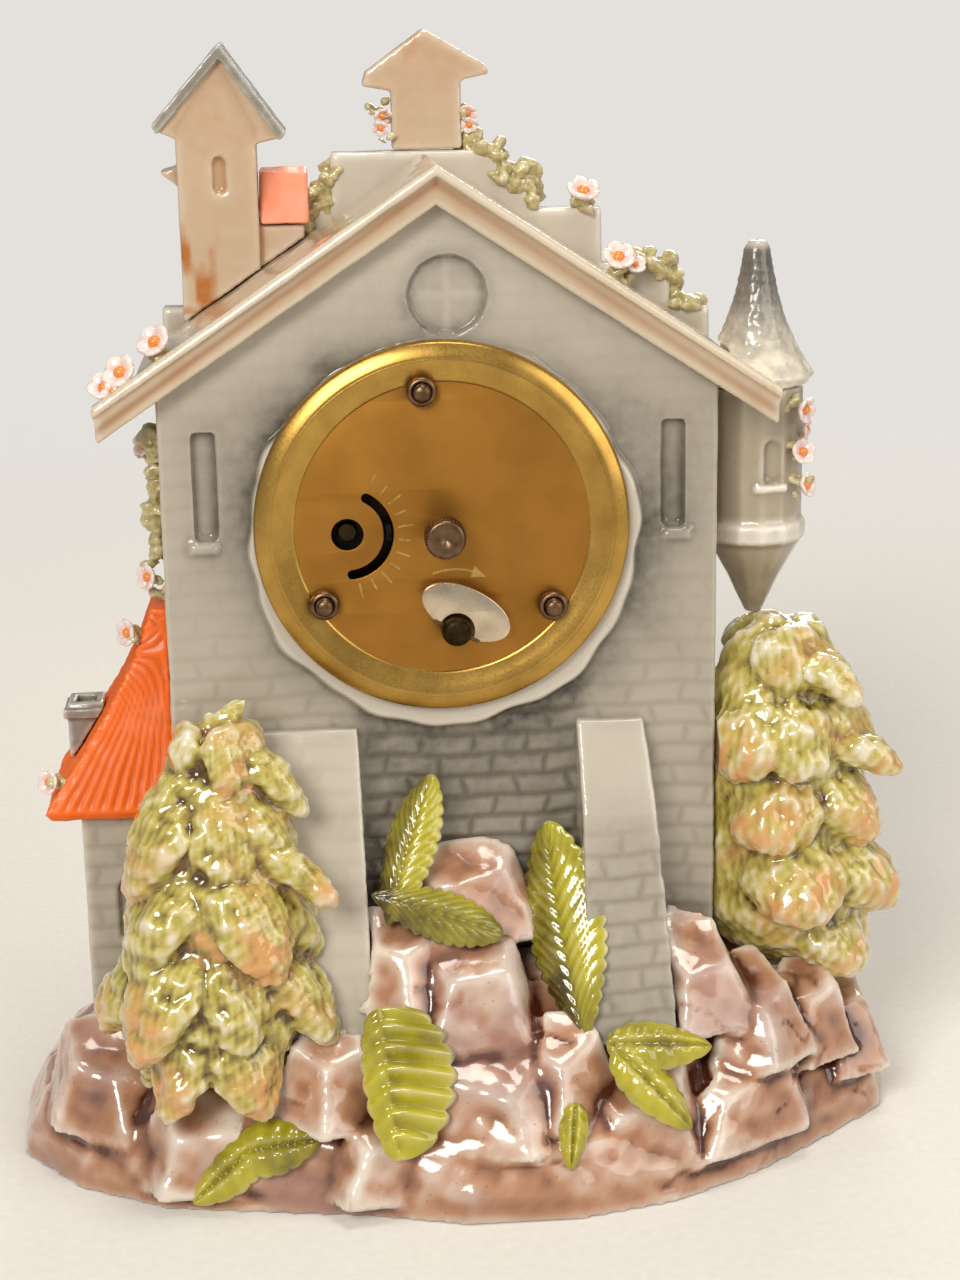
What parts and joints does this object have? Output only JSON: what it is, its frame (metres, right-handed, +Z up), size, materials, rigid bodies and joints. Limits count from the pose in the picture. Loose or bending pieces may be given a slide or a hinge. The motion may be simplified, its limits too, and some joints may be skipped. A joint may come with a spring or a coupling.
{
  "type": "porcelain cottage clock",
  "caption": "Glazed porcelain cottage on a rock, with turrets, firs and flowers, housing a wind-up lever clock with a folding key, setting knob and regulator on its brass back.",
  "frame": {"origin": "on the ground, straight below the dial's axis, at the middle of the house's depth", "axes": "+Z up; the dial faces -Y and the winding side faces +Y; +X is to the left as seen from behind"},
  "size_m": [0.1831, 0.1178, 0.2197],
  "materials": {
    "wall_glaze": "glossy",
    "cream_glaze": "glossy",
    "orange_glaze": "glossy",
    "grey_glaze": "glossy",
    "rock_glaze": "glossy",
    "tree_glaze": "glossy",
    "leaf_glaze": "glossy",
    "flower_glaze": "glossy",
    "cap_brass": "lacquered",
    "movement_brass": "satin",
    "dark_steel": "satin",
    "nickel": "polished",
    "dial_enamel": "gloss",
    "glass": "clear"
  },
  "bodies": {
    "case": {"house_shell": "wall_glaze", "roof": "cream_glaze", "facade": "wall_glaze", "front_door": "orange_glaze", "bell_tower": "cream_glaze", "bell_tower_roof": "grey_glaze", "annex_roof": "orange_glaze", "bell_cote": "cream_glaze", "turret": "cream_glaze", "turret_roof": "grey_glaze", "lean_to": "wall_glaze", "lean_to_roof": "orange_glaze", "lean_to_chimney": "grey_glaze", "buttress_left": "wall_glaze", "buttress_right": "wall_glaze", "rock_base": "rock_glaze", "fir_tree_left": "tree_glaze", "fir_tree_right": "tree_glaze", "leaf_lower_left": "leaf_glaze", "leaf_centre": "leaf_glaze", "fern_upper": "leaf_glaze", "fern_buttress": "leaf_glaze", "leaf_right": "leaf_glaze", "flowers_roof_left": "flower_glaze", "flowers_gable_right": "flower_glaze", "flowers_turret": "flower_glaze", "flowers_bell_cote": "flower_glaze", "rear_cap": "cap_brass", "cap_nut_1": "dark_steel", "cap_nut_2": "dark_steel", "cap_nut_3": "dark_steel", "back_plate": "movement_brass", "front_plate": "movement_brass", "dial": "dial_enamel", "bezel": "cap_brass", "crystal": "glass"},
    "winding_key": {"barrel_arbor": "dark_steel", "ratchet_wheel": "dark_steel", "key_hub": "dark_steel", "key_pin": "dark_steel"},
    "key_wing": {"key_wing": "nickel"},
    "hand_setting": {"centre_arbor": "dark_steel", "setting_knob": "dark_steel", "cannon_pinion": "dark_steel", "minute_hand": "dark_steel"},
    "minute_wheel": {"minute_wheel": "movement_brass"},
    "hour_hand": {"hour_wheel": "movement_brass", "hour_hand": "dark_steel"},
    "centre_wheel": {"centre_wheel": "movement_brass"},
    "barrel": {"mainspring_barrel": "movement_brass", "mainspring": "dark_steel"},
    "intermediate_wheel": {"intermediate_wheel": "movement_brass"},
    "third_wheel": {"third_wheel": "movement_brass"},
    "fourth_wheel": {"fourth_wheel": "movement_brass"},
    "escape_wheel": {"escape_wheel": "dark_steel"},
    "pallet_lever": {"pallet_lever": "dark_steel"},
    "balance": {"balance_wheel": "movement_brass", "hairspring": "dark_steel"},
    "regulator": {"regulator_index": "nickel"},
    "click": {"click": "dark_steel"}
  },
  "joints": [
    {"name": "winding", "type": "hinge", "parent": "case", "child": "winding_key", "pos_m": [-0.0021, 0.0256, 0.1088], "axis": [0, -1, 0], "range_deg": [0, 2520]},
    {"name": "wing_fold", "type": "hinge", "parent": "winding_key", "child": "key_wing", "pos_m": [-0.0021, 0.029, 0.1088], "axis": [-0.8829, 0, -0.4695], "range_deg": [0, 180]},
    {"name": "setting", "type": "hinge", "parent": "case", "child": "hand_setting", "pos_m": [0, 0, 0.128], "axis": [0, 1, 0], "continuous": true},
    {"name": "minute_wheel_turn", "type": "hinge", "parent": "case", "child": "minute_wheel", "pos_m": [0.01128, -0.0153, 0.1239], "axis": [0, 1, 0], "continuous": true},
    {"name": "hour_turn", "type": "hinge", "parent": "case", "child": "hour_hand", "pos_m": [0, -0.0178, 0.128], "axis": [0, 1, 0], "continuous": true},
    {"name": "centre_turn", "type": "hinge", "parent": "case", "child": "centre_wheel", "pos_m": [0, 0.004, 0.128], "axis": [0, 1, 0], "continuous": true},
    {"name": "barrel_turn", "type": "hinge", "parent": "case", "child": "barrel", "pos_m": [-0.0021, -0.0021, 0.1088], "axis": [0, 1, 0], "continuous": true},
    {"name": "intermediate_turn", "type": "hinge", "parent": "case", "child": "intermediate_wheel", "pos_m": [-0.00779, 0.001, 0.11954], "axis": [0, 1, 0], "continuous": true},
    {"name": "third_turn", "type": "hinge", "parent": "case", "child": "third_wheel", "pos_m": [-0.00572, 0.007, 0.13716], "axis": [0, 1, 0], "continuous": true},
    {"name": "fourth_turn", "type": "hinge", "parent": "case", "child": "fourth_wheel", "pos_m": [0.00231, 0.01, 0.14257], "axis": [0, 1, 0], "continuous": true},
    {"name": "escape_turn", "type": "hinge", "parent": "case", "child": "escape_wheel", "pos_m": [0.01153, 0.0126, 0.13989], "axis": [0, 1, 0], "continuous": true},
    {"name": "lever_rock", "type": "hinge", "parent": "case", "child": "pallet_lever", "pos_m": [0.01582, 0.0126, 0.13629], "axis": [0, 1, 0], "range_deg": [-8, 8]},
    {"name": "balance_swing", "type": "hinge", "parent": "case", "child": "balance", "pos_m": [0.0182, 0.0152, 0.1274], "axis": [0, 1, 0], "range_deg": [-150, 150], "stiffness_Nm_per_rad": 0.00002},
    {"name": "regulation", "type": "hinge", "parent": "case", "child": "regulator", "pos_m": [0.0182, 0.0213, 0.1274], "axis": [0, -1, 0], "range_deg": [-40, 66]},
    {"name": "click_lift", "type": "hinge", "parent": "case", "child": "click", "pos_m": [0.00549, 0.0209, 0.11284], "axis": [0, 1, 0], "range_deg": [0, 10], "stiffness_Nm_per_rad": 0.0002}
  ],
  "couplings": [
    {"joint": "minute_wheel_turn", "follows": "setting", "ratio": -0.33333},
    {"joint": "hour_turn", "follows": "setting", "ratio": 0.083333},
    {"joint": "barrel_turn", "follows": "centre_turn", "ratio": 0.034722},
    {"joint": "intermediate_turn", "follows": "centre_turn", "ratio": -0.27778},
    {"joint": "third_turn", "follows": "centre_turn", "ratio": -8},
    {"joint": "fourth_turn", "follows": "centre_turn", "ratio": 60},
    {"joint": "escape_turn", "follows": "centre_turn", "ratio": -420}
  ]
}
